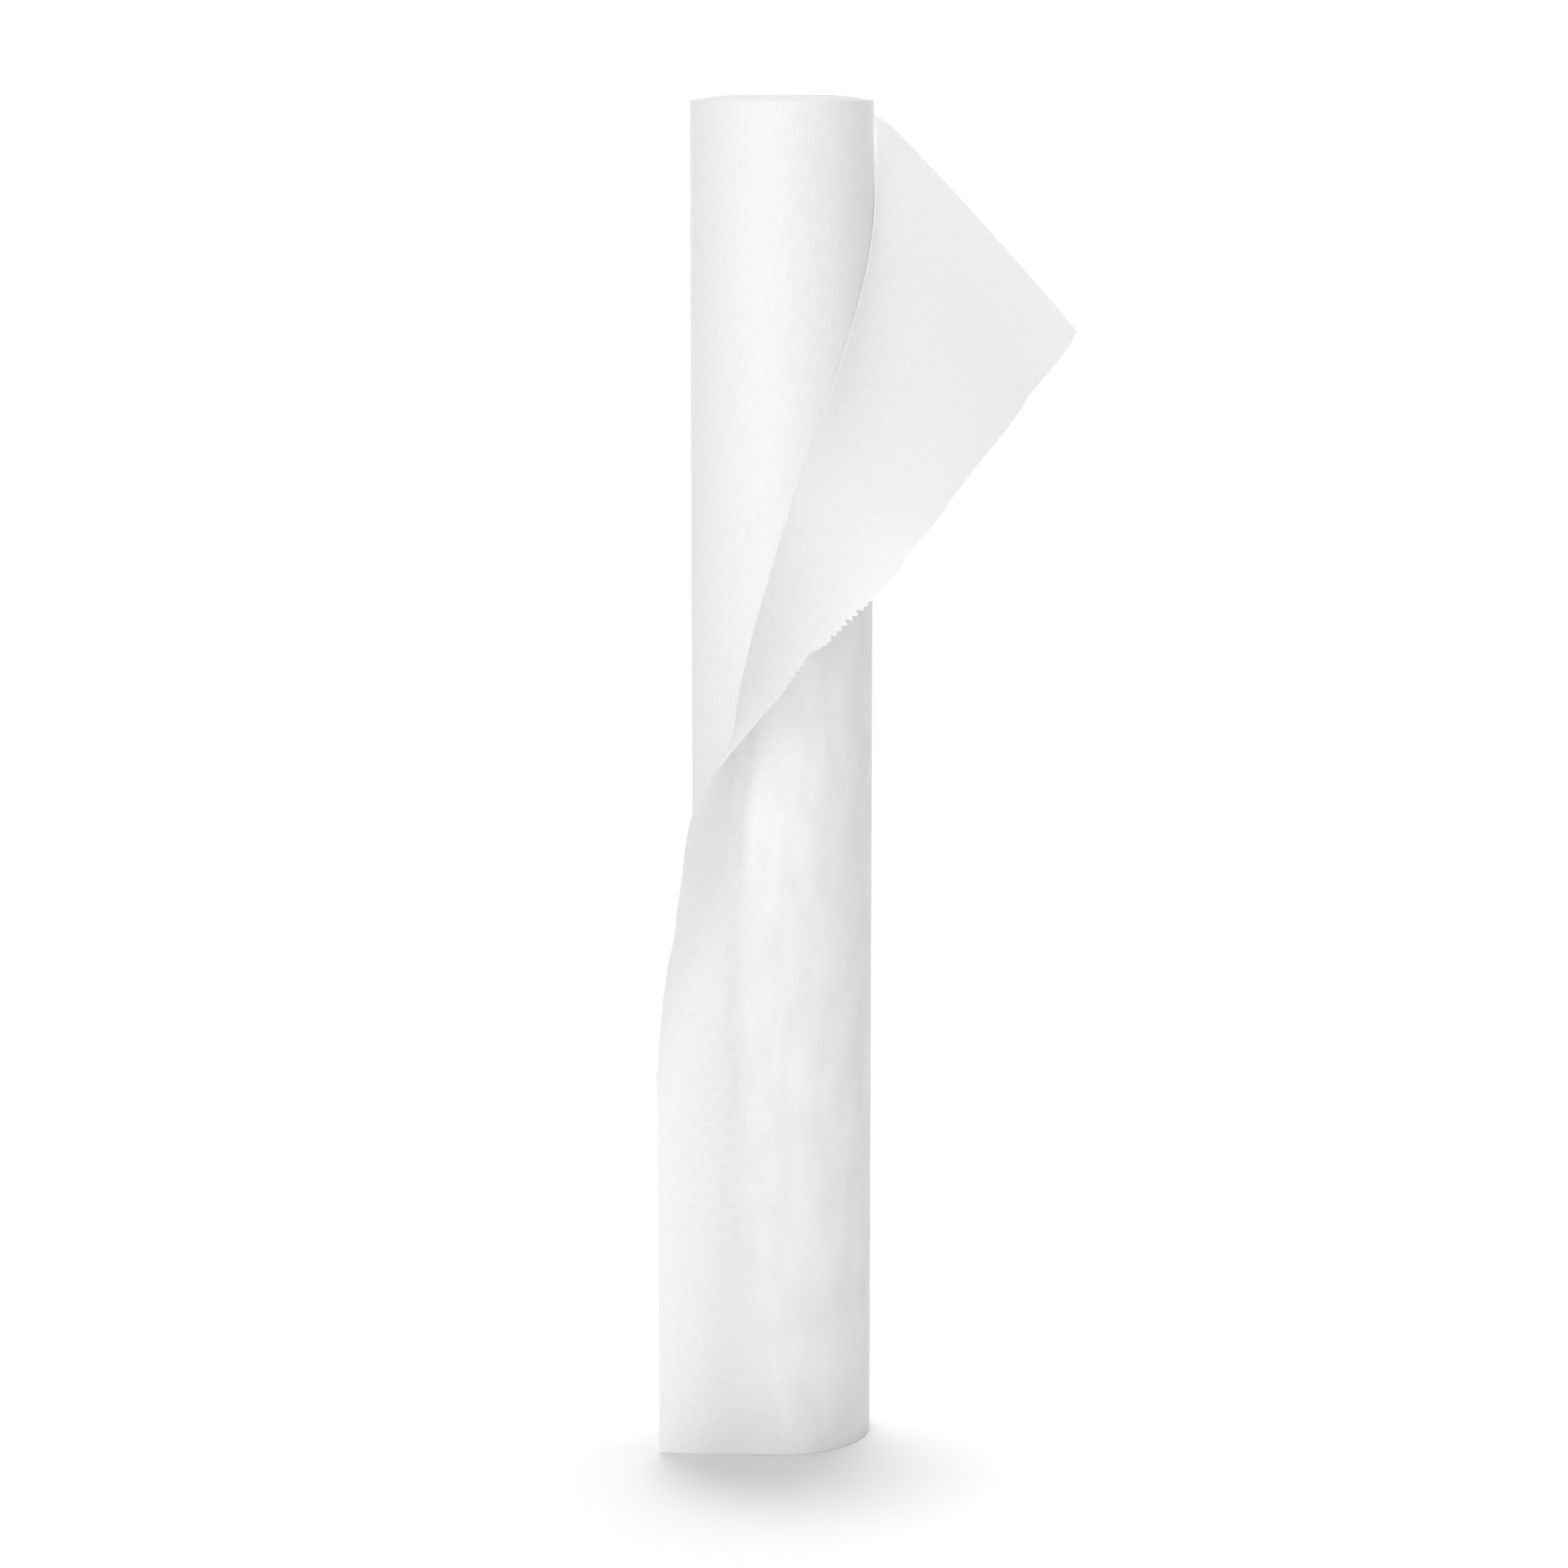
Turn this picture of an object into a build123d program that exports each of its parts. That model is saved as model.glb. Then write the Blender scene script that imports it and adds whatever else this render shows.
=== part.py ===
from build123d import *
import math
import os

# A roll of exam table paper on its cardboard tube, standing on its end. The outer end of the web is
# loose: the leaf leaves the roll, and its upper corner is turned back to the right. Front is -Y, up is +Z.

# Driving dimensions in millimetres
web_width = 533.4           # width of the paper, which is the roll's length
roll_radius = 35.6
core_bore_radius = 15.875   # inside of the cardboard tube
core_wall = 1.6
core_fit = 0.1              # play between the tube and the innermost turn
end_crown = 2.0             # inner turns stand this much above the outer ones
crown_shoulder = 17.0       # width over which the crown rises
rim_land = 0.8              # flat ring of outer turns at the upper end
foot_land = 4.0             # flat ring of outer turns that the roll stands on
turn_bands = 7              # bands of turns that show at each end
band_groove_width = 0.5
band_groove_depth = 0.4
leaf_thickness = 0.3
leaf_setback = 0.25         # the leaf's edges end this far inside the roll's two ends
loop_play = 0.1             # the loose outermost turn is this much wider than the roll
loop_shift = 0.5            # and its middle lies this far in front of the roll's
root_depth = 1.0            # the leaf starts this far inside that loop, among the wound turns

# Travel along the leaf, in degrees round the loop and counted from the rear
root_travel = 30            # the leaf starts this far before it lifts off
tear_travel = 258           # the web is torn off about here
# share of the web, lift-off, straight run, bend, turn in the bend, fall after it, fall at the tear,
# and how far the torn edge wanders from the straight
leaf_stations = [
    (0.00, 184, 136, 60, 40, 5, 0, 1),
    (0.38, 179, 48, 35, 72, 6, 3, 1),
    (0.50, 187, 19, 29, 79, 7, 10, 2),
    (0.58, 186, 10, 18, 107, 16, 20, 1),
    (0.68, 174, 6, 12, 134, 29, 31, 0),
    (0.80, 142, 4, 9, 150, 42, 48, -4),
    (0.92, 95, 1, 9, 115, 47, 52, 0),
    (1.00, 26, 23, 15, 38, 44, 49, 0),
]
leaf_rows = 36              # rows of small ruled faces across the web
face_counts = (5, 2, 9, 4)  # faces along the root, the straight run, the bend and the flap
span_limits = (75, 55, 25)  # the first three spans end at least these degrees before the tear
least_run = 3               # degrees of straight run that every row has
march_steps = 12            # steps from one point of a row to the next

core_radius = core_bore_radius + core_wall
hole_radius = core_radius + core_fit
loop_radius = roll_radius + loop_play


def crown_height(radius, rim):
    """Rise of the inner turns above the outer ones, half a parabola that starts at the rim."""
    share = min(max((rim - radius) / crown_shoulder, 0), 1)
    return end_crown * (1 - (1 - share) ** 2)


def end_profile(rim, groove):
    """Radius and rise of one end face, from the hole to the rim, with a groove between bands of turns."""
    band = (roll_radius - hole_radius) / turn_bands
    half = band_groove_width / 2
    points = [(hole_radius, crown_height(hole_radius, rim)), (rim, 0)]
    for index in range(1, turn_bands):
        middle = hole_radius + band * index
        for radius, depth in ((middle - half, 0), (middle, groove), (middle + half, 0)):
            points.append((radius, crown_height(radius, rim) + depth))
    return sorted(points)


def wound_turns():
    """The wound part of the web: crowned ends with bands of turns, and the hole for the tube."""
    lower = end_profile(roll_radius - foot_land, band_groove_depth)
    upper = end_profile(roll_radius - rim_land, -band_groove_depth)
    section = [(radius, 0, rise) for radius, rise in lower]
    section += [(roll_radius, 0, 0), (roll_radius, 0, web_width)]
    section += [(radius, 0, web_width + rise) for radius, rise in reversed(upper)]
    return revolve(make_face(Polyline(*section, close=True)), Axis.Z)


def station_value(share, column):
    """Value of one station column at any share of the web, by a smooth curve through the stations."""
    last = len(leaf_stations) - 1
    low = 0
    while low < last - 1 and share > leaf_stations[low + 1][0]:
        low += 1
    start, end = leaf_stations[low], leaf_stations[low + 1]
    before, after = leaf_stations[max(low - 1, 0)], leaf_stations[min(low + 2, last)]
    width = end[0] - start[0]
    slope_in = (end[column] - before[column]) / (end[0] - before[0]) * width
    slope_out = (after[column] - start[column]) / (after[0] - start[0]) * width
    t = (share - start[0]) / width
    blend = slope_in * t * (1 - t) ** 2 - slope_out * t ** 2 * (1 - t)
    return start[column] * (1 + 2 * t) * (1 - t) ** 2 + end[column] * t ** 2 * (3 - 2 * t) + blend


def leaf_marks(lift, run, bend, tear):
    """Travel of the points of one row, closer together in the bend."""
    lift = min(lift, tear - span_limits[0])
    run_end = max(min(lift + run, tear - span_limits[1]), lift + least_run)
    bend_end = min(run_end + bend, tear - span_limits[2])
    marks = [lift - root_travel]
    for end, count in zip((lift, run_end, bend_end, tear), face_counts):
        start = marks[-1]
        marks += [start + (end - start) * index / count for index in range(1, count + 1)]
    return marks


def leaf_row(share):
    """Points along the leaf at one height: out of the turns, round the loop, off it and through the bend."""
    values = [station_value(share, column) for column in range(1, len(leaf_stations[0]))]
    lift, run, bend, turn, fall_bend, fall_tear, wander = values
    bend_start = lift + run
    flap_start = bend_start + bend
    tear = tear_travel + wander
    height = leaf_setback + share * (web_width - 2 * leaf_setback)

    def on_loop(travel):
        radius = loop_radius - root_depth * (lift - travel) / root_travel
        angle = math.radians(travel)
        return Vector(radius * math.sin(angle), radius * math.cos(angle) - loop_shift, height)

    def ahead(travel):
        bent = (1 - math.cos(math.pi * min(max((travel - bend_start) / bend, 0), 1))) / 2
        past = max(travel - flap_start, 0) / max(tear - flap_start, span_limits[2])
        heading = math.radians(turn * bent - lift)
        fall = math.radians(fall_bend * bent + (fall_tear - fall_bend) * past)
        level = math.cos(fall)
        return Vector(math.cos(heading) * level, math.sin(heading) * level, -math.sin(fall))

    points = []
    place, reached = on_loop(lift), lift
    for mark in leaf_marks(lift, run, bend, tear):
        if mark <= lift:
            points.append(on_loop(mark))
            continue
        step = (mark - reached) / march_steps
        for index in range(march_steps):
            place += ahead(reached + (index + 0.5) * step) * math.radians(step) * loop_radius
        reached = mark
        points.append(place)
    return points


def leaf_side(rows, offset):
    """The rows of points moved square to the leaf, onto one of its two sides."""
    side = []
    for index, points in enumerate(rows):
        below, above = rows[max(index - 1, 0)], rows[min(index + 1, len(rows) - 1)]
        moved = []
        for place, point in enumerate(points):
            along = points[min(place + 1, len(points) - 1)] - points[max(place - 1, 0)]
            across = above[place] - below[place]
            moved.append(point + along.cross(across).normalized() * offset)
        side.append(moved)
    return side


def strip(first, second):
    """Small ruled faces between two rows of points."""
    faces = []
    for index in range(len(first) - 1):
        edges = [Edge.make_line(row[index], row[index + 1]) for row in (first, second)]
        faces.append(Face.make_surface_from_curves(*edges))
    return faces


def loose_leaf():
    """The free end of the web as one sheet of even thickness."""
    rows = [leaf_row(index / leaf_rows) for index in range(leaf_rows + 1)]
    outer = leaf_side(rows, leaf_thickness / 2)
    inner = leaf_side(rows, -leaf_thickness / 2)
    faces = []
    for side in (outer, inner):
        for below, above in zip(side, side[1:]):
            faces += strip(below, above)
    for end in (0, -1):
        faces += strip(outer[end], inner[end])
        faces += strip([row[end] for row in outer], [row[end] for row in inner])
    return Solid(Shell(faces))


def core_tube():
    """The cardboard tube that the web is wound on."""
    return extrude(Circle(core_radius) - Circle(core_bore_radius), web_width)


os.makedirs("parts", exist_ok=True)
export_step(wound_turns() + loose_leaf(), "parts/paper_roll.step")
export_step(core_tube(), "parts/core_tube.step")
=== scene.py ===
import bmesh
import bpy
import math
import random
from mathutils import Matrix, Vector, noise


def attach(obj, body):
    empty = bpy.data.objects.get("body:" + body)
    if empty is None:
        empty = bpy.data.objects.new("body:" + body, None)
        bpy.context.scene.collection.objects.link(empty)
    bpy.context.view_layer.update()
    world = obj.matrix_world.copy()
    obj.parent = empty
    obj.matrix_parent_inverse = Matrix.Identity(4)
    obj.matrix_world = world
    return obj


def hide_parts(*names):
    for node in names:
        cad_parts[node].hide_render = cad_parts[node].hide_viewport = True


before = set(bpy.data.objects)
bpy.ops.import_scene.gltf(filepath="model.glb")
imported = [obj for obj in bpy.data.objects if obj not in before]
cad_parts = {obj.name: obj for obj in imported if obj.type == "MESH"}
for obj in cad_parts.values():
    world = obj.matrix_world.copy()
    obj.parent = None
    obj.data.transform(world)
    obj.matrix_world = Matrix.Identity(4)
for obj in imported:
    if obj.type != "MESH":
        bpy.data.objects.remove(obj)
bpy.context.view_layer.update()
mm = 0.001
noiseSpan = (0.3, 0.7)     # most values of a noise lie between these


def fromHex(code):
    # sRGB hex to the linear colour that a shader takes
    channels = [int(code[place:place + 2], 16) / 255 for place in (0, 2, 4)]
    linear = [c / 12.92 if c <= 0.04045 else ((c + 0.055) / 1.055) ** 2.4 for c in channels]
    return (*linear, 1)


def addNode(tree, kind, inputs, **settings):
    # one node with its settings, and its inputs as values or as sockets to link
    made = tree.nodes.new(kind)
    for name, value in settings.items():
        setattr(made, name, value)
    for name, value in inputs.items():
        if isinstance(value, bpy.types.NodeSocket):
            tree.links.new(value, made.inputs[name])
        else:
            made.inputs[name].default_value = value
    return made


def newMaterial(name):
    material = bpy.data.materials.new(name)
    material.use_nodes = True
    material.node_tree.nodes.clear()
    return material, material.node_tree


def smoothStep(low, high, value):
    t = min(max((value - low) / (high - low), 0), 1)
    return t * t * (3 - 2 * t)


# Smooth exam table paper: bleached pulp, calendered, so a matte white with a soft sheen. One sheet lets
# about three tenths of the light through and shows its fibre clouds. On the roll many layers give a warmer,
# even white with faint streaks from edge to edge. The leaf takes that opaque look where it rests on the roll,
# and also for some way past where it leaves it: painted brightness in place of the shade in the gap behind it.
paperLook = {
    "rollPale": "f9f9f7", "rollDeep": "f4f4f2", "sheetPale": "fefefe", "sheetDeep": "f7f7f7",
    # lengths in mm; real fibres are finer, drawn this coarse so that they show
    "cloudSize": 2.8, "fibreSize": 0.9,
    "streakWidth": 1.3, "streakLength": 4.5, "patchWidth": 9, "patchLength": 24,
    "fibreDepth": 0.010, "roughness": 0.42, "ior": 1.47,
    "throughLow": 0.17, "throughHigh": 0.43,      # share of light through a thick and a thin cloud
    "patchShare": 0.8, "liesSpan": (0.75, 1.5),   # how far patches blur the edge of the painted backing brightness
}


def stretchedNoise(tree, place, width, length, upright, detail):
    # noise with patches of this width and length in mm, their length along one axis of the coordinates
    scale = [1 / (width * mm)] * 3
    scale[upright] = 1 / (length * mm)
    mapped = addNode(tree, "ShaderNodeMapping", {"Vector": place, "Scale": scale})
    return addNode(tree, "ShaderNodeTexNoise", {
        "Vector": mapped.outputs[0], "Scale": 1.0, "Detail": detail, "Roughness": 0.6}).outputs["Fac"]


def betweenTones(tree, value, deep, pale):
    # colour that goes from the deep tone to the pale one over the span of a noise
    share = addNode(tree, "ShaderNodeMapRange", {
        "Value": value, "From Min": noiseSpan[0], "From Max": noiseSpan[1]})
    return addNode(tree, "ShaderNodeMix", {
        "Factor": share.outputs[0], 6: fromHex(deep), 7: fromHex(pale)}, data_type="RGBA").outputs[2]


def paperMaterial(name, coordinates, upright, singleSheet):
    material, tree = newMaterial(name)
    place = addNode(tree, "ShaderNodeTexCoord", {}).outputs[coordinates]
    fibres = addNode(tree, "ShaderNodeTexNoise", {
        "Vector": place, "Scale": 1 / (paperLook["fibreSize"] * mm), "Detail": 3.0, "Roughness": 0.65})
    relief = addNode(tree, "ShaderNodeBump", {
        "Height": fibres.outputs["Fac"], "Distance": paperLook["fibreDepth"] * mm, "Strength": 0.6})
    streaks = stretchedNoise(tree, place, paperLook["streakWidth"], paperLook["streakLength"], upright, 4.0)
    colour = betweenTones(tree, streaks, paperLook["rollDeep"], paperLook["rollPale"])
    if singleSheet:
        clouds = addNode(tree, "ShaderNodeTexNoise", {
            "Vector": place, "Scale": 1 / (paperLook["cloudSize"] * mm), "Detail": 6.0, "Roughness": 0.72})
        cloudy = betweenTones(tree, clouds.outputs["Fac"], paperLook["sheetDeep"], paperLook["sheetPale"])
        # painted backing: the opaque roll look where the leaf rests on the roll and for some way past it,
        # painted brightness in place of the shade in the gap, its edge broken by patches of noise
        lies = addNode(tree, "ShaderNodeAttribute", {}, attribute_name="lies").outputs["Fac"]
        patches = stretchedNoise(
            tree, place, paperLook["patchWidth"], paperLook["patchLength"], upright, 3.0)
        reach = addNode(tree, "ShaderNodeMath", {
            0: patches, 1: paperLook["patchShare"], 2: lies}, operation="MULTIPLY_ADD")
        paintedBackingShare = addNode(tree, "ShaderNodeMapRange", {
            "Value": reach.outputs[0],
            "From Min": paperLook["liesSpan"][0], "From Max": paperLook["liesSpan"][1]}).outputs[0]
        # painted backing: roll colour and no light through, so the gap behind the leaf shows no shade
        colour = addNode(tree, "ShaderNodeMix", {
            "Factor": paintedBackingShare, 6: cloudy, 7: colour}, data_type="RGBA").outputs[2]
        thin = addNode(tree, "ShaderNodeMapRange", {
            "Value": clouds.outputs["Fac"], "From Min": noiseSpan[0], "From Max": noiseSpan[1],
            "To Min": paperLook["throughHigh"], "To Max": paperLook["throughLow"]}).outputs[0]
        free = addNode(tree, "ShaderNodeMath", {0: 1.0, 1: paintedBackingShare}, operation="SUBTRACT").outputs[0]
        through = addNode(tree, "ShaderNodeMath", {0: thin, 1: free}, operation="MULTIPLY").outputs[0]
    surface = addNode(tree, "ShaderNodeBsdfPrincipled", {
        "Base Color": colour, "Normal": relief.outputs["Normal"],
        "Roughness": paperLook["roughness"], "IOR": paperLook["ior"]})
    shader = surface.outputs[0]
    if singleSheet:
        glow = addNode(tree, "ShaderNodeBsdfTranslucent", {"Color": colour})
        mixed = addNode(tree, "ShaderNodeMixShader", {0: through, 1: shader, 2: glow.outputs[0]})
        shader = mixed.outputs[0]
    addNode(tree, "ShaderNodeOutputMaterial", {"Surface": shader})
    return material


# Cut edges of the web at the roll's two ends: no sheen, greyer than the face of the paper, with fine rings
# where some turns stand closer together than others. The ring width is in mm; one turn is finer.
cutLook = {"pale": "eeeeec", "deep": "dfdfdc", "ringWidth": 0.55}


def cutMaterial(name):
    material, tree = newMaterial(name)
    place = addNode(tree, "ShaderNodeTexCoord", {}).outputs["Object"]
    level = addNode(tree, "ShaderNodeVectorMath", {0: place, 1: (1, 1, 0)}, operation="MULTIPLY")
    radius = addNode(tree, "ShaderNodeVectorMath", {0: level.outputs[0]}, operation="LENGTH")
    rings = addNode(tree, "ShaderNodeTexNoise", {
        "W": radius.outputs["Value"], "Scale": 1 / (cutLook["ringWidth"] * mm),
        "Detail": 3.0, "Roughness": 0.7}, noise_dimensions="1D")
    colour = betweenTones(tree, rings.outputs["Fac"], cutLook["deep"], cutLook["pale"])
    surface = addNode(tree, "ShaderNodeBsdfPrincipled", {
        "Base Color": colour, "Roughness": 0.75, "IOR": 1.47})
    addNode(tree, "ShaderNodeOutputMaterial", {"Surface": surface.outputs[0]})
    return material


# Spiral-wound grey-brown cardboard: matte, with a seam that climbs the tube and flecks of recycled pulp
cardLook = {
    "tone": "b39a78", "fleck": "9c8261", "seam": "7d6648",
    "seamPitch": 62.0, "seamWidth": 0.9, "fleckSize": 2.4,     # in mm
}


def cardMaterial(name):
    material, tree = newMaterial(name)
    place = addNode(tree, "ShaderNodeTexCoord", {}).outputs["Object"]
    flecks = addNode(tree, "ShaderNodeTexNoise", {
        "Vector": place, "Scale": 1 / (cardLook["fleckSize"] * mm), "Detail": 5.0, "Roughness": 0.7})
    tones = addNode(tree, "ShaderNodeValToRGB", {"Fac": flecks.outputs["Fac"]})
    tones.color_ramp.elements[0].position = 0.3
    tones.color_ramp.elements[1].position = 0.62
    tones.color_ramp.elements[0].color = fromHex(cardLook["fleck"])
    tones.color_ramp.elements[1].color = fromHex(cardLook["tone"])
    axes = addNode(tree, "ShaderNodeSeparateXYZ", {"Vector": place})
    angle = addNode(tree, "ShaderNodeMath", {
        0: axes.outputs["Y"], 1: axes.outputs["X"]}, operation="ARCTAN2")
    turn = addNode(tree, "ShaderNodeMath", {0: angle.outputs[0], 1: 2 * math.pi}, operation="DIVIDE")
    climb = addNode(tree, "ShaderNodeMath", {
        0: axes.outputs["Z"], 1: 1 / (cardLook["seamPitch"] * mm), 2: turn.outputs[0]},
        operation="MULTIPLY_ADD")
    wrap = addNode(tree, "ShaderNodeMath", {0: climb.outputs[0]}, operation="FRACT")
    onSeam = addNode(tree, "ShaderNodeMath", {
        0: wrap.outputs[0], 1: cardLook["seamWidth"] / cardLook["seamPitch"]}, operation="LESS_THAN")
    colour = addNode(tree, "ShaderNodeMix", {
        "Factor": onSeam.outputs[0], 6: tones.outputs["Color"], 7: fromHex(cardLook["seam"])},
        data_type="RGBA")
    surface = addNode(tree, "ShaderNodeBsdfPrincipled", {
        "Base Color": colour.outputs[2], "Roughness": 0.8, "IOR": 1.45})
    addNode(tree, "ShaderNodeOutputMaterial", {"Surface": surface.outputs[0]})
    return material


rollPaper = paperMaterial("calendered paper, wound", "Object", 2, False)
leafPaper = paperMaterial("calendered paper, single sheet", "UV", 1, True)
cutPaper = cutMaterial("calendered paper, cut edges")
tubeCard = cardMaterial("spiral wound cardboard")
print("materials made")

# The wound turns: one profile spun round the tube. Bands of turns stand a little higher or lower.
turns = {
    "webWidth": 533.4, "rollRadius": 35.6, "holeRadius": 17.575,
    "crown": 2.0, "shoulder": 17.0, "rimLand": 0.8, "footLand": 4.0,
    "bands": 44, "bandLift": 0.16, "bandGap": 0.06, "seed": 7, "wallSteps": 40, "spinSteps": 144,
    "rimBreak": 0.15,    # the outermost turn's edge is taken off by this much
    "sharpAngle": 35,
    "cutSlope": 0.3,     # faces turned up or down more than this are cut edges
}


def crownHeight(radius, rim):
    share = min(max((rim - radius) / turns["shoulder"], 0), 1)
    return turns["crown"] * (1 - (1 - share) ** 2)


def endProfile(land, chance):
    # radius and rise of one end from the hole outwards, in small steps from band to band
    rim = turns["rollRadius"] - land
    width = (rim - turns["holeRadius"]) / turns["bands"]
    points = []
    for band in range(turns["bands"]):
        inner = turns["holeRadius"] + band * width
        lift = chance.uniform(-turns["bandLift"], 0)
        for radius in (inner + turns["bandGap"] * width, inner + (1 - turns["bandGap"]) * width):
            points.append((radius, max(crownHeight(radius, rim) + lift, 0)))
    return points + [(rim, 0), (turns["rollRadius"] - turns["rimBreak"], 0)]


def makeTurns():
    chance = random.Random(turns["seed"])
    top = turns["webWidth"]
    outline = endProfile(turns["footLand"], chance)
    for step in range(turns["wallSteps"] + 1):
        rise = turns["rimBreak"] + (top - 2 * turns["rimBreak"]) * step / turns["wallSteps"]
        outline.append((turns["rollRadius"], rise))
    outline += [(radius, top + rise) for radius, rise in reversed(endProfile(turns["rimLand"], chance))]
    mesh = bmesh.new()
    corners = [mesh.verts.new((radius * mm, 0, height * mm)) for radius, height in outline]
    edges = [mesh.edges.new(pair) for pair in zip(corners, corners[1:] + corners[:1])]
    bmesh.ops.spin(mesh, geom=corners + edges, axis=(0, 0, 1), cent=(0, 0, 0), angle=2 * math.pi,
                   steps=turns["spinSteps"], use_merge=True)
    bmesh.ops.remove_doubles(mesh, verts=mesh.verts, dist=0.001 * mm)
    bmesh.ops.recalc_face_normals(mesh, faces=mesh.faces)
    for face in mesh.faces:
        face.material_index = 1 if abs(face.normal.z) > turns["cutSlope"] else 0
    return finishPiece("woundTurns", mesh, [rollPaper, cutPaper], math.radians(turns["sharpAngle"]))


def finishPiece(name, mesh, materials, sharpAngle):
    for face in mesh.faces:
        face.smooth = True
    for edge in mesh.edges:
        if len(edge.link_faces) == 2 and edge.calc_face_angle(0) > sharpAngle:
            edge.smooth = False
    data = bpy.data.meshes.new(name)
    mesh.to_mesh(data)
    mesh.free()
    for material in materials:
        data.materials.append(material)
    piece = bpy.data.objects.new(name, data)
    bpy.context.scene.collection.objects.link(piece)
    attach(piece, "root")
    return piece


# The loose leaf, by the same law as the part's solid, with a tighter fold and a flatter middle. Travel along it
# is in degrees round the loop that the outermost turn makes, from the rear. Columns of a station: share of the
# web, lift-off, straight run, bend, turn in the bend, fall after it, fall at the tear, and how far the torn
# edge wanders from the straight.
leaf = {
    "setback": 0.05, "loopPlay": 0.1, "loopShift": 0.1, "tear": 258,
    "stations": [
        (0.00, 184, 136, 60, 40, 5, 0, 1),
        (0.38, 179, 30, 45, 45.9, 1.4, -0.6, 0),
        (0.44, 182.6, 14, 34, 50.9, 2.4, 3.4, -2.5),
        (0.50, 187, 7, 26, 62.9, 5, 8, -3.5),
        (0.58, 186, 10, 18, 107, 16, 20, 1),
        (0.68, 174, 6, 7, 134, 29, 31, -1),
        (0.80, 142, 4, 3, 150, 42, 48, -6),
        (0.92, 95, 1, 3, 115, 47, 52, -2),
        (1.00, 26, 23, 15, 38, 44, 49, 0),
    ],
    # share of the web, how far past lift-off the leaf keeps the roll's opaque look (painted brightness in place
    # of the shade in the gap behind it), and how soon that ends
    "lies": [
        (0, 36, 30), (0.06, 34, 28), (0.14, 28, 18), (0.38, 28, 8), (0.54, 11, 6), (0.66, 1, 2), (1, 0, 2),
    ],
    "rows": 400, "toothedRows": 0.35, "spans": (30, 8, 44, 38),
    "limits": (75, 55, 25), "leastRun": 3, "marchSteps": 3,
    # the upper edge dips by this many mm where it lifts off the roll
    "dip": 3.6, "dipShares": (0.9, 1), "dipStart": (15, 40), "dipEnd": (52, 80),
    "waveLength": 48, "waveDepth": 0.35, "waveFade": (12, 40),
}
loopRadius = turns["rollRadius"] + leaf["loopPlay"]

# The torn edge: small bites from the tear where the flap crosses the roll, and single marks along the rest
tear = {
    "toothed": (0.60, 0.72), "biteSpan": (0.610, 0.619, 0.688, 0.702),
    "pitch": 2.6, "depth": 3.2, "leastBite": 0.3, "plainDepth": 0.12, "seed": 5,
    "swing": 1.1, "swingTeeth": 5, "swingRow": 3.7,     # the bites get deeper and shallower over some teeth
    # share of the web, width as a share of it, and depth in mm, less than nothing where the edge stands out
    "marks": [(0.640, 0.0085, 3.4), (0.402, 0.016, 1.2), (0.288, 0.012, -0.7), (0.745, 0.026, 1.7)],
}


def stationValue(stations, share, column):
    last = len(stations) - 1
    low = 0
    while low < last - 1 and share > stations[low + 1][0]:
        low += 1
    start, end = stations[low], stations[low + 1]
    before, after = stations[max(low - 1, 0)], stations[min(low + 2, last)]
    width = end[0] - start[0]
    slopeIn = (end[column] - before[column]) / (end[0] - before[0]) * width
    slopeOut = (after[column] - start[column]) / (after[0] - start[0]) * width
    t = (share - start[0]) / width
    blend = slopeIn * t * (1 - t) ** 2 - slopeOut * t ** 2 * (1 - t)
    return start[column] * (1 + 2 * t) * (1 - t) ** 2 + end[column] * t ** 2 * (3 - 2 * t) + blend


def rowShare(step):
    # share of the web at one row, with rows closer together along the toothed stretch
    low, high = tear["toothed"]
    plain = (1 - leaf["toothedRows"]) / (1 - high + low)
    first, second = low * plain, low * plain + leaf["toothedRows"]
    if step < first:
        return step / plain
    if step < second:
        return low + (step - first) * (high - low) / leaf["toothedRows"]
    return high + (step - second) / plain


def tornBite(share):
    # depth in mm that the tear takes off the web's end at this height
    along = share * turns["webWidth"] / tear["pitch"]
    chance = random.Random(tear["seed"] + int(along))
    bite = chance.uniform(tear["leastBite"], 1) * (1 - abs(2 * (along % 1) - 1))
    first, second, third, fourth = tear["biteSpan"]
    deep = smoothStep(first, second, share) * (1 - smoothStep(third, fourth, share))
    swing = tear["swing"] * noise.noise(Vector((along / tear["swingTeeth"], tear["swingRow"], 0)))
    marks = [(depth, math.exp(-((share - at) / width) ** 2)) for at, width, depth in tear["marks"]]
    plain = 1 - max(near for depth, near in marks)
    teeth = tear["plainDepth"] + (tear["depth"] - tear["plainDepth"]) * deep * plain
    return teeth * bite + swing * deep + sum(depth * near for depth, near in marks)


def leafMarks(lift, run, bend, tearAt, end):
    # travel of the points of one row, close together in the bend
    liftEnd = min(lift, tearAt - leaf["limits"][0])
    runEnd = max(min(liftEnd + run, tearAt - leaf["limits"][1]), liftEnd + leaf["leastRun"])
    bendEnd = min(runEnd + bend, tearAt - leaf["limits"][2])
    marks = [0]
    for last, count in zip((liftEnd, runEnd, bendEnd, end), leaf["spans"]):
        start = marks[-1]
        marks += [start + (last - start) * index / count for index in range(1, count + 1)]
    return marks


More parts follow.
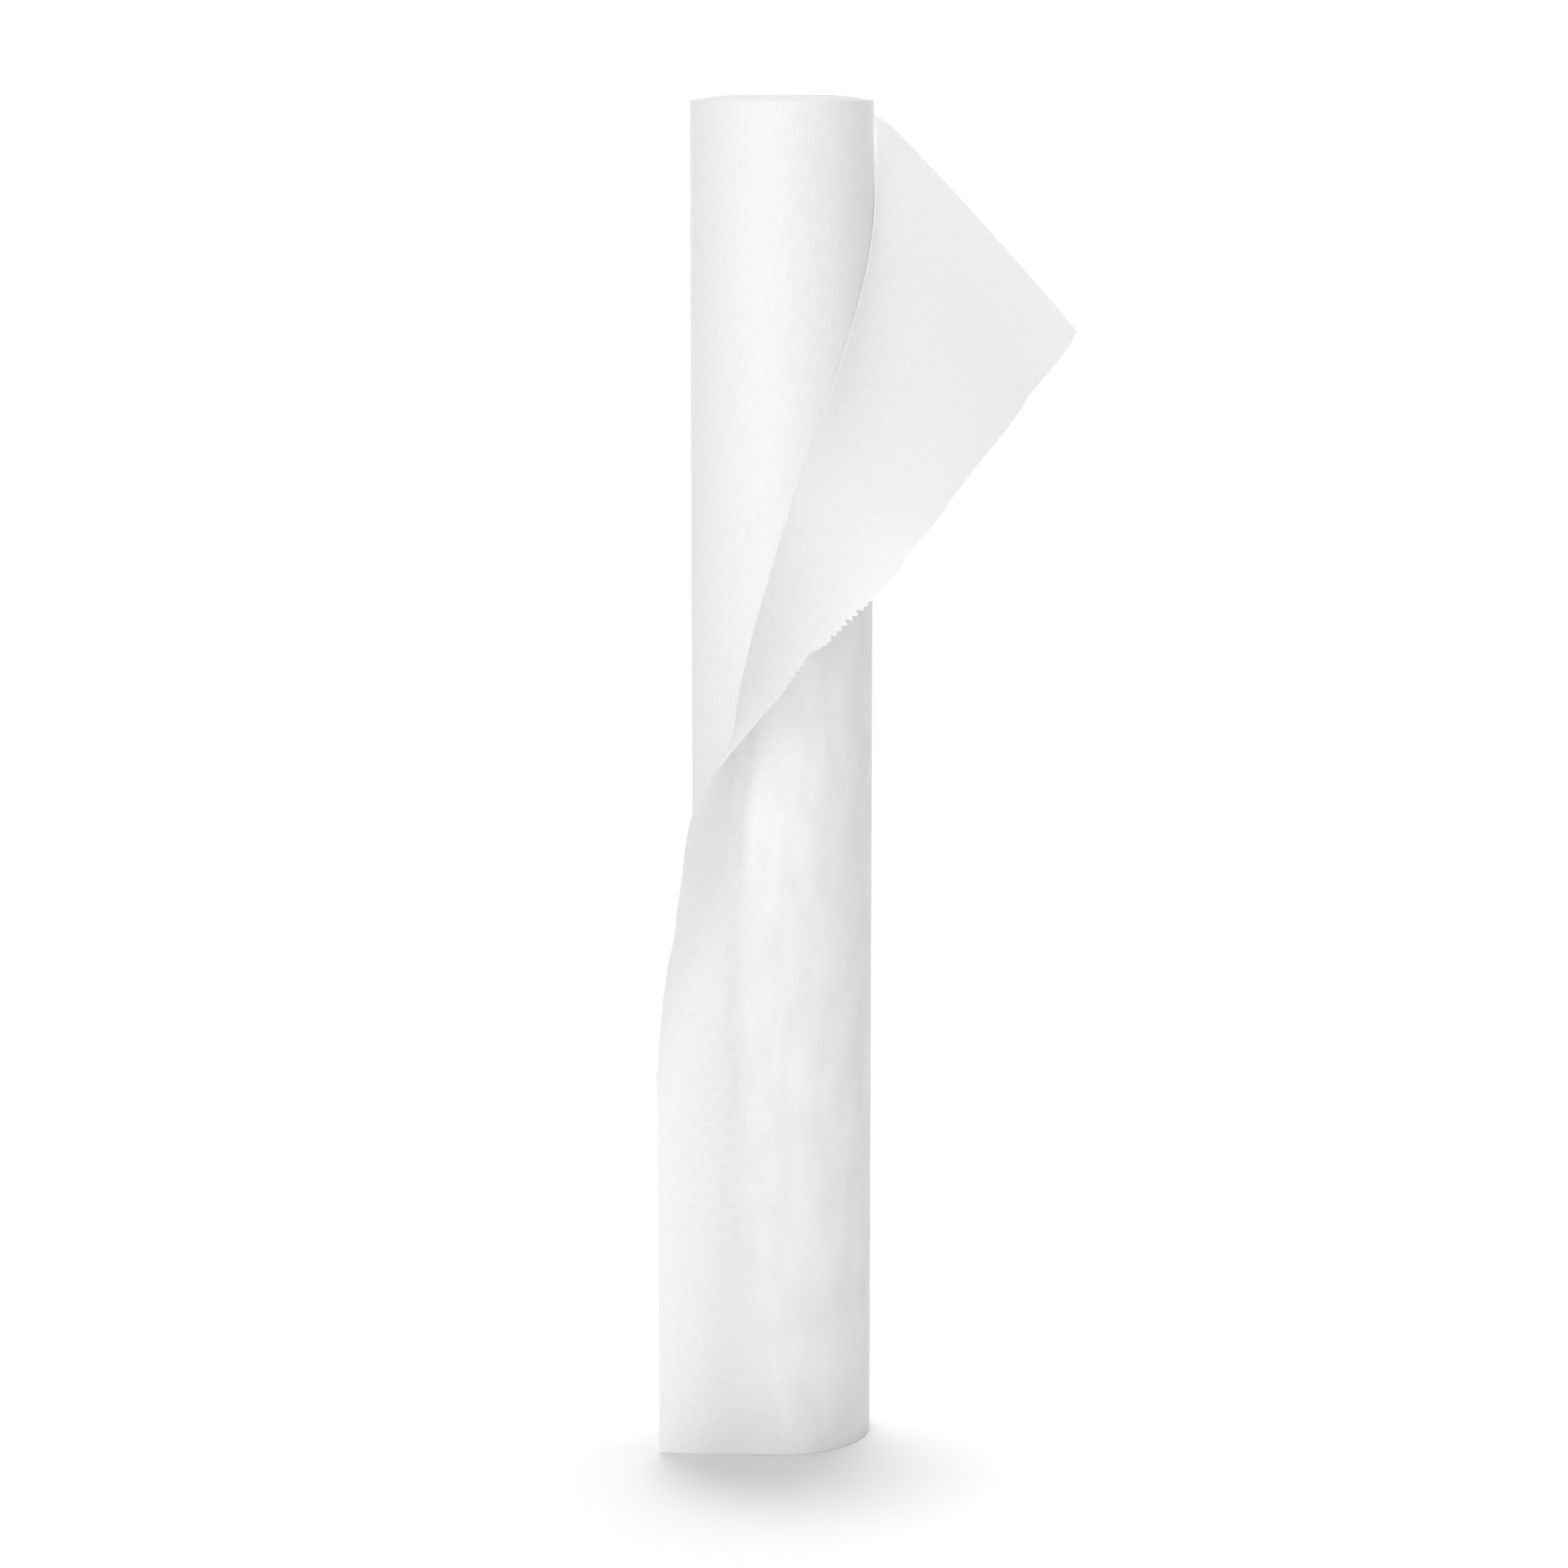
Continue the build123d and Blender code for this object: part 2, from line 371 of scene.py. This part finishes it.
def leafRow(share):
    # place, travel and painted backing brightness of the points at one height
    values = [stationValue(leaf["stations"], share, column) for column in range(1, 8)]
    lift, run, bend, turn, fallBend, fallTear, wander = values
    bendStart = lift + run
    flapStart = bendStart + bend
    tearAt = leaf["tear"] + wander
    liesTo = lift + stationValue(leaf["lies"], share, 1)
    liesFade = stationValue(leaf["lies"], share, 2)
    dip = leaf["dip"] * smoothStep(*leaf["dipShares"], share)
    waveSpan = [flapStart + fade for fade in leaf["waveFade"]]
    height = leaf["setback"] + share * (turns["webWidth"] - 2 * leaf["setback"])

    def onLoop(travel):
        angle = math.radians(travel)
        across, forward = loopRadius * math.sin(angle), loopRadius * math.cos(angle)
        return Vector((across, forward - leaf["loopShift"], height))

    def ahead(travel):
        bent = (1 - math.cos(math.pi * min(max((travel - bendStart) / bend, 0), 1))) / 2
        past = max(travel - flapStart, 0) / max(tearAt - flapStart, leaf["limits"][2])
        heading = math.radians(turn * bent - lift)
        fall = math.radians(fallBend * bent + (fallTear - fallBend) * past)
        level = math.cos(fall)
        return Vector((math.cos(heading) * level, math.sin(heading) * level, -math.sin(fall)))

    points = []
    place, reached = onLoop(lift), lift
    for mark in leafMarks(lift, run, bend, tearAt, tearAt - math.degrees(tornBite(share) / loopRadius)):
        if mark > lift:
            step = (mark - reached) / leaf["marchSteps"]
            for index in range(leaf["marchSteps"]):
                place = place + ahead(reached + (index + 0.5) * step) * math.radians(step) * loopRadius
            reached = mark
        # painted backing brightness: full until some way past lift-off, then fading out, though the leaf stands
        # off the roll there
        lies = 1 - smoothStep(liesTo - liesFade, liesTo + liesFade, mark)
        wave = leaf["waveDepth"] * smoothStep(*waveSpan, mark)
        point = place.copy() if mark > lift else onLoop(mark)
        point.z -= dip * smoothStep(*leaf["dipStart"], mark) * (1 - smoothStep(*leaf["dipEnd"], mark))
        points.append((point, math.radians(mark) * loopRadius, lies, wave))
    return points, height


def makeLeaf():
    mesh = bmesh.new()
    bmesh.ops.create_grid(mesh, x_segments=sum(leaf["spans"]), y_segments=leaf["rows"], size=0.5)
    web = mesh.loops.layers.uv.new("web")
    lies = mesh.verts.layers.float.new("lies")
    flat = {}
    waves = {}
    rows = {}
    for corner in mesh.verts:
        rows.setdefault(round(corner.co.y * leaf["rows"]), []).append(corner)
    for corners in rows.values():
        corners.sort(key=lambda corner: corner.co.x)
        points, height = leafRow(rowShare(corners[0].co.y + 0.5))
        for corner, (place, length, paintedBackingHere, wave) in zip(corners, points):
            corner.co = place * mm
            corner[lies] = paintedBackingHere
            flat[corner] = (length * mm, height * mm)
            waves[corner] = wave * noise.noise(Vector((length, height, 0)) / leaf["waveLength"])
    for face in mesh.faces:
        for loop in face.loops:
            loop[web].uv = flat[loop.vert]
    mesh.normal_update()
    for corner, wave in waves.items():
        corner.co += corner.normal * wave * mm
    return finishPiece("looseLeaf", mesh, [leafPaper], math.pi)


turnsPiece = makeTurns()
print("wound turns made:", len(turnsPiece.data.polygons), "faces")
leafPiece = makeLeaf()
print("loose leaf made:", len(leafPiece.data.polygons), "faces")
for piece in (turnsPiece, leafPiece):
    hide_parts("paper_roll")

tube = bpy.data.objects["core_tube"]
tube.data.materials.clear()
tube.data.materials.append(tubeCard)
print("tube dressed")

# Studio: a white floor that runs out to a white surround. A narrow glow at the front left gives the roll
# its light stripe, a wide one behind shines through the flap, and two lights hang above.
studio = {
    "floorTone": "fafafa", "floorSize": 40.0, "floorDrop": 0.05, "surround": 1.1,
    # azimuth from the front, narrowness, strength
    "glows": [(-18, 7, 3.86), (180, 3, 2.12)],
    # name, lean, spread, strength
    "lamps": [("topLight", (-6, 0), 16, 1.22), ("topFill", (-3, 11), 60, 1.28)],
}


def makeFloor():
    mesh = bmesh.new()
    bmesh.ops.create_grid(mesh, x_segments=1, y_segments=1, size=studio["floorSize"] / 2)
    data = bpy.data.meshes.new("floor")
    mesh.to_mesh(data)
    mesh.free()
    floor = bpy.data.objects.new("floor", data)
    floor.location.z = -studio["floorDrop"] * mm
    bpy.context.scene.collection.objects.link(floor)
    material, tree = newMaterial("matte white floor")
    surface = addNode(tree, "ShaderNodeBsdfDiffuse", {"Color": fromHex(studio["floorTone"])})
    addNode(tree, "ShaderNodeOutputMaterial", {"Surface": surface.outputs[0]})
    data.materials.append(material)


def sideways(azimuth):
    # level direction towards an azimuth, with 0 at the front and 90 at the right
    return Vector((math.sin(math.radians(azimuth)), -math.cos(math.radians(azimuth)), 0))


def makeLamps():
    for name, lean, spread, strength in studio["lamps"]:
        light = bpy.data.lights.new(name, "SUN")
        light.energy = strength
        light.angle = math.radians(spread)
        lamp = bpy.data.objects.new(name, light)
        lamp.rotation_euler = [math.radians(angle) for angle in (*lean, 0)]
        bpy.context.scene.collection.objects.link(lamp)


def makeSurround():
    world = bpy.data.worlds.new("surround")
    world.use_nodes = True
    bpy.context.scene.world = world
    tree = world.node_tree
    tree.nodes.clear()
    look = addNode(tree, "ShaderNodeTexCoord", {}).outputs["Generated"]
    dome = 0.0
    for azimuth, narrowness, strength in studio["glows"]:
        facing = addNode(tree, "ShaderNodeVectorMath", {
            0: look, 1: sideways(azimuth)}, operation="DOT_PRODUCT")
        lit = addNode(tree, "ShaderNodeMath", {0: facing.outputs["Value"], 1: 0.0}, operation="MAXIMUM")
        glow = addNode(tree, "ShaderNodeMath", {0: lit.outputs[0], 1: narrowness}, operation="POWER")
        dome = addNode(tree, "ShaderNodeMath", {
            0: glow.outputs[0], 1: strength, 2: dome}, operation="MULTIPLY_ADD").outputs[0]
    seen = addNode(tree, "ShaderNodeLightPath", {}).outputs["Is Camera Ray"]
    strength = addNode(tree, "ShaderNodeMix", {0: seen, 2: dome, 3: studio["surround"]}, data_type="FLOAT")
    light = addNode(tree, "ShaderNodeBackground", {"Color": (1, 1, 1, 1), "Strength": strength.outputs[0]})
    addNode(tree, "ShaderNodeOutputWorld", {"Surface": light.outputs[0]})


# Camera where the photographer stood: level with the roll's upper end, 1.58 m in front of it
shot = {"place": (0.00084, -1.5824, 0.533), "down": 9.588, "focal": 4980, "imageSize": 1932, "sensor": 36}


def makeCamera():
    data = bpy.data.cameras.new("camera")
    data.sensor_width = shot["sensor"]
    data.lens = shot["focal"] / shot["imageSize"] * shot["sensor"]
    camera = bpy.data.objects.new("camera", data)
    camera.location = shot["place"]
    camera.rotation_euler = (math.radians(90 - shot["down"]), 0, 0)
    bpy.context.scene.collection.objects.link(camera)
    bpy.context.scene.camera = camera


makeFloor()
makeLamps()
makeSurround()
makeCamera()
bpy.context.scene.view_settings.view_transform = "Standard"
print("studio and camera ready")
